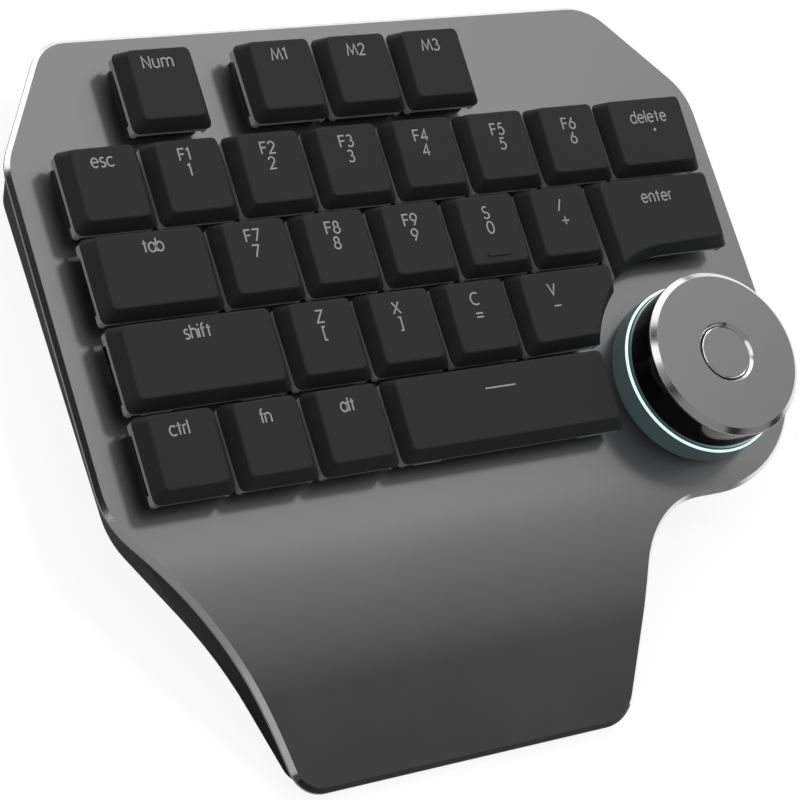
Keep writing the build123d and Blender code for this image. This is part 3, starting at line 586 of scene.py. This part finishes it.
def ribbon(path, y_high, run_back):
    """Flat strip with a box section carried along a stroke. At each point the
    sides stand half a width out along the mean normal of the two runs, over the
    cosine of half their turn, and the height follows the slanted top."""
    closed = np.linalg.norm(path[0] - path[-1]) < joint_distance
    if closed:
        path = path[:-1]
        ahead = np.roll(path, -1, 0) - path
        ahead /= np.linalg.norm(ahead, axis=1)[:, None]
        behind = np.roll(ahead, 1, 0)
    else:
        step = np.diff(path, axis=0)
        step /= np.linalg.norm(step, axis=1)[:, None]
        ahead = np.concatenate([step, step[-1:]])
        behind = np.concatenate([step[:1], step])
    mean = ahead + behind
    mean /= np.linalg.norm(mean, axis=1)[:, None]
    spread = stroke_width / 2 / np.maximum((mean * ahead).sum(1), least_cosine)
    out = np.stack([-mean[:, 1], mean[:, 0]], 1) * spread[:, None]
    left, right = path + out, path - out
    rings = np.stack([left, right, right, left], 1)
    z = top_height - front_fall * (y_high - rings[..., 1]) / run_back
    z += np.array([-mark_root, -mark_root, mark_rise, mark_rise])
    return skin(np.concatenate([rings, z[..., None]], -1), loop=closed)


def word_strokes(text, middle, width, base, left, front):
    """Strokes of one word on a key whose left side and front line are given.
    A given width is filled by equal gaps between the letters."""
    widths = np.array([letters[c][0] for c in text])
    gaps = len(text) - 1
    spare = letter_gap if width is None else (width - widths.sum()) / gaps
    start = left + middle - (widths.sum() + spare * gaps) / 2
    offsets = np.concatenate([[0], np.cumsum(widths + spare)])
    return [path + (start + at, front + base)
            for letter, at in zip(text, offsets) for path in letters[letter][1]]


mark_grey = finish("mark_grey", (0.5, 0.5, 0.5), 0.5, grain=0.2, relief=0.0005, wander=0.03)
for name, words in marks.items():
    left, row = keys[name][:2]
    front = front_line(row)
    y_high = front + pitch - gap / 2 - back_slope
    y_low = front + gap / 2 + front_slope
    strokes = [path for word in words for path in word_strokes(*word, left * pitch, front)]
    ribbons = [ribbon(path, y_high, y_high - y_low) for path in strokes]
    piece = new_piece(place_of(name, "marks"), ribbons, mark_grey)
    piece.data.shade_flat()
    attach(piece, f"key_{name}")

# Dial's ring. A smoked clear ring stands on the plate, and a thin light ring on
# its top glows pale cyan from the lamps inside.
plate_height = 15.5
ring_outer, ring_inner, ring_high = 19.6, 17.6, 5.4
ring_ease = 0.1
light_wide, light_high = 0.5, 0.5
light_ease = 0.12
turn_steps = 160


def turned(name, profile, made, ease):
    """Piece turned about the dial's axis: a closed profile of radius and height,
    anticlockwise with its corners eased, carried round in a full circle."""
    shape = eased(profile, ease).reshape(-1, 2)
    angle = np.linspace(0, 2 * math.pi, turn_steps, endpoint=False)
    radius, height = shape[:, None, 0], shape[:, None, 1]
    rings = np.stack([dial_middle[0] + radius * np.cos(angle),
                      dial_middle[1] + radius * np.sin(angle), height + 0 * angle], -1)
    piece = new_piece(name, [skin(rings, loop=True)], made)
    even_shading(piece)
    return piece


def tube_profile(outer, inner, low, high):
    """Profile of a plain tube: a rectangle between two radii and two heights."""
    return [(inner, low), (outer, low), (outer, high), (inner, high)]


ring_top = plate_height + ring_high
# The smoked ring glows faintly teal: painted light for the lamps inside shining through it.
smoked = finish("smoked_plastic_painted_glow", (0.05, 0.068, 0.07), 0.32, grain=0.5, relief=0.001,
                emission_color=(0.66, 0.95, 1.0, 1.0), emission_strength=0.045)
ring = turned("dial_ring_smoked",
              tube_profile(ring_outer, ring_inner, plate_height, ring_top), smoked, ring_ease)
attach(ring, "keyboard")
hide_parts("dial_base_ring")
lit = finish("lit_guide", (0.75, 0.95, 0.97), 0.3, grain=0.5, relief=0.001, wander=0.02,
             emission_color=(0.72, 1.0, 1.0, 1.0), emission_strength=0.95)
light = turned("dial_ring_light",
               tube_profile(ring_outer, ring_outer - light_wide, ring_top,
                            ring_top + light_high), lit, light_ease)
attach(light, "keyboard")
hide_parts("dial_light_ring")

# Dial. A glossy black skirt pushed onto the encoder's shaft carries a spun
# aluminium cap with bright milled edges; the round button in its middle works
# the small switch below through a thin rod.
dial_high, cap_thick = 15.7, 1.6
dial_top = plate_height + dial_high
cap_low = dial_top - cap_thick
cap_out, cap_in = 19.0, 6.2
chamfer_wide, chamfer_high, inner_chamfer = 1.25, 1.0, 0.7
button_deep, button_sunk = 1.5, 0.3
button_radius, button_low, button_high = 6.0, dial_top - button_deep, dial_top - button_sunk
button_centre, button_bevel = 0.02, 0.2
grooves_in_metre = 3500.0
groove_detail = 2.0
groove_depth = 0.0012
lean_least, lean_most = 0.1, 0.97
gloss = finish("gloss_black", (0.006, 0.006, 0.006), 0.08, grain=3.0, relief=0.001, wander=0.1)
skirt = welded_copy("dial_skirt", "dial_skirt_gloss", gloss)
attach(skirt, "dial")
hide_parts("dial_skirt")


def spun(name, colour, roughness):
    """Metal finish turned on a lathe: fine noise over the distance from the
    dial's axis raises narrow rings."""
    made = finish(name, colour, roughness, metal=1.0, grain=0.2, relief=0.001, wander=0.03)
    nodes, links = made.node_tree.nodes, made.node_tree.links
    place = nodes.new("ShaderNodeTexCoord")
    centre = nodes.new("ShaderNodeMapping")
    centre.inputs["Location"].default_value = [
        -(dial_middle[i] + drawing_to_frame[i]) / mm_in_metre for i in range(2)] + [0.0]
    centre.inputs["Scale"].default_value = (1.0, 1.0, 0.0)
    links.new(place.outputs["Object"], centre.inputs["Vector"])
    reach = nodes.new("ShaderNodeVectorMath")
    reach.operation = "LENGTH"
    links.new(centre.outputs["Vector"], reach.inputs[0])
    grooves = nodes.new("ShaderNodeTexNoise")
    grooves.noise_dimensions = "1D"
    grooves.inputs["Scale"].default_value = grooves_in_metre
    grooves.inputs["Detail"].default_value = groove_detail
    links.new(reach.outputs["Value"], grooves.inputs["W"])
    lift = nodes.new("ShaderNodeBump")
    lift.inputs["Distance"].default_value = groove_depth / mm_in_metre
    links.new(grooves.outputs["Fac"], lift.inputs["Height"])
    first = next(n for n in nodes if n.type == "BUMP" and n != lift)
    links.new(first.outputs["Normal"], lift.inputs["Normal"])
    links.new(lift.outputs["Normal"], nodes["Principled BSDF"].inputs["Normal"])
    return made


spun_grey = spun("spun_aluminium", plate_grey, 0.42)
cap_profile = [(cap_in, cap_low), (cap_out, cap_low), (cap_out, dial_top - chamfer_high),
               (cap_out - chamfer_wide, dial_top), (cap_in + inner_chamfer, dial_top),
               (cap_in, dial_top - inner_chamfer)]
cap_eases = [0.05, 0.05, 0.06, 0.06, 0.05, 0.05]
dial_cap = turned("dial_cap_aluminium", cap_profile, spun_grey, cap_eases)
dial_cap.data.materials.append(milled_edge)


def chamfers_bright(mesh):
    """Second finish on every face that leans, the first on level or upright ones."""
    up = face_normals(mesh)[:, 2]
    leaning = (up > lean_least) & (up < lean_most)
    mesh.polygons.foreach_set("material_index", leaning.astype(np.int32))


chamfers_bright(dial_cap.data)
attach(dial_cap, "dial")
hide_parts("dial_cap")
button_profile = [(button_centre, button_low), (button_radius, button_low),
                  (button_radius, button_high - button_bevel),
                  (button_radius - button_bevel, button_high), (button_centre, button_high)]
button_eases = [0.005, 0.1, 0.03, 0.03, 0.005]
button = turned("dial_button_aluminium", button_profile, spun_grey, button_eases)
button.data.materials.append(milled_edge)
chamfers_bright(button.data)
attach(button, "dial_button")
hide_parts("dial_button")

# Studio. A wide pale floor, a small and a broad distant light from the back
# right, soft boxes whose reflections lie in the bright edges, and a dim grey
# surround, lighter on the left.
floor_reach = 60
floor_grey, floor_glow = 0.2, 0.9
surround_fade = 0.35
surround_left, surround_right = 0.1, 0.03
box_distance = 1.2
floor_mesh = bpy.data.meshes.new("studio_floor")
floor_corners = [(x * floor_reach, y * floor_reach, 0)
                 for x, y in ((-1, -1), (1, -1), (1, 1), (-1, 1))]
floor_mesh.from_pydata(floor_corners, [], [(0, 1, 2, 3)])
floor = bpy.data.objects.new("studio_floor", floor_mesh)
bpy.context.scene.collection.objects.link(floor)
paper = bpy.data.materials.new("studio_paper")
paper.use_nodes = True
nodes, links = paper.node_tree.nodes, paper.node_tree.links
shader = nodes["Principled BSDF"]
shader.inputs["Base Color"].default_value = (floor_grey, floor_grey, floor_grey, 1.0)
shader.inputs["Roughness"].default_value = 1.0
shader.inputs["Specular IOR Level"].default_value = 0.0
shader.inputs["Emission Color"].default_value = (1.0, 1.0, 1.0, 1.0)
# The floor glows where it is seen, mirrored or seen through, and lights nothing.
rays = nodes.new("ShaderNodeLightPath")
seen = rays.outputs["Is Camera Ray"]
for other in ("Is Glossy Ray", "Is Transmission Ray"):
    either = nodes.new("ShaderNodeMath")
    either.operation = "MAXIMUM"
    links.new(seen, either.inputs[0])
    links.new(rays.outputs[other], either.inputs[1])
    seen = either.outputs[0]
glow = nodes.new("ShaderNodeMath")
glow.operation = "MULTIPLY"
glow.inputs[1].default_value = floor_glow
links.new(seen, glow.inputs[0])
links.new(glow.outputs[0], shader.inputs["Emission Strength"])
floor_mesh.materials.append(paper)

surround = bpy.data.worlds.new("studio_surround")
bpy.context.scene.world = surround
surround.use_nodes = True
nodes, links = surround.node_tree.nodes, surround.node_tree.links
around = nodes.new("ShaderNodeTexCoord")
split = nodes.new("ShaderNodeSeparateXYZ")
links.new(around.outputs["Generated"], split.inputs[0])
shade = nodes.new("ShaderNodeMapRange")
shade.interpolation_type = "SMOOTHSTEP"
shade.inputs["From Min"].default_value = -surround_fade
shade.inputs["From Max"].default_value = surround_fade
shade.inputs["To Min"].default_value = surround_left
shade.inputs["To Max"].default_value = surround_right
links.new(split.outputs["X"], shade.inputs["Value"])
links.new(shade.outputs["Result"], nodes["Background"].inputs["Strength"])


def lamp_towards(name, data, way):
    """Lamp turned to shine on the object from the given way."""
    lamp = bpy.data.objects.new(name, data)
    lamp.rotation_mode = "QUATERNION"
    lamp.rotation_quaternion = way.to_track_quat("Z", "Y")
    bpy.context.scene.collection.objects.link(lamp)
    return lamp


def far_light(name, way, energy, angle):
    """Distant light from a direction, as wide as its angle in degrees."""
    data = bpy.data.lights.new(name, "SUN")
    data.energy = energy
    data.angle = math.radians(angle)
    lamp_towards(name, data, Vector(way))


far_light("key_light", (0.60, 0.42, 1.0), 0.31, 9)
far_light("broad_light", (0.662, 0.42, 1.0), 1.16, 82)


def soft_box(name, azimuth, elevation, wide, high, radiance):
    """Rectangular lamp that faces the object from box_distance, in metres. Its
    energy is radiance * pi * area. Azimuth turns from +X towards +Y."""
    data = bpy.data.lights.new(name, "AREA")
    data.shape = "RECTANGLE"
    data.size, data.size_y = wide, high
    data.energy = radiance * math.pi * wide * high
    a, e = math.radians(azimuth), math.radians(elevation)
    way = Vector((math.cos(a) * math.cos(e), math.sin(a) * math.cos(e), math.sin(e)))
    lamp = lamp_towards(name, data, way)
    lamp.location = way * box_distance
    lamp.visible_camera = False


soft_box("soft_box_back", 100, 19, 2.0, 0.82, 1.3)
soft_box("soft_box_high_left", 146, 47, 0.36, 0.5, 1.3)
soft_box("soft_box_upper_left", 172, 43, 0.42, 0.2, 1.3)
soft_box("soft_box_left", 190.5, 37.5, 0.12, 0.4, 1.3)
soft_box("soft_box_front_left", 225, 14, 0.3, 0.2, 0.5)
soft_box("soft_box_high", 176, 53, 0.47, 0.25, 0.2)
soft_box("soft_box_front", 240, 38, 1.9, 0.8, 0.25)
soft_box("soft_box_front_right", 312, 16, 0.7, 0.46, 0.22)

# Camera. It stands where the photograph was taken from, at the front left, and
# is turned as fitted to the key corners.
camera_data = bpy.data.cameras.new("photo_view")
camera_data.sensor_width = 36.0
camera_data.lens = 126.5
camera = bpy.data.objects.new("photo_view", camera_data)
right = Vector((0.8404, -0.2916, 0.4569)).normalized()
forward = Vector((0.5269, 0.2419, -0.8148)).normalized()
up = right.cross(forward)
turn = Matrix((right, up, -forward)).transposed()
camera.rotation_mode = "QUATERNION"
camera.rotation_quaternion = turn.to_quaternion()
camera.location = (-0.322735, -0.14803, 0.4922)
bpy.context.scene.collection.objects.link(camera)
bpy.context.scene.camera = camera
bpy.context.scene.view_settings.view_transform = "Standard"

bpy.context.view_layer.update()
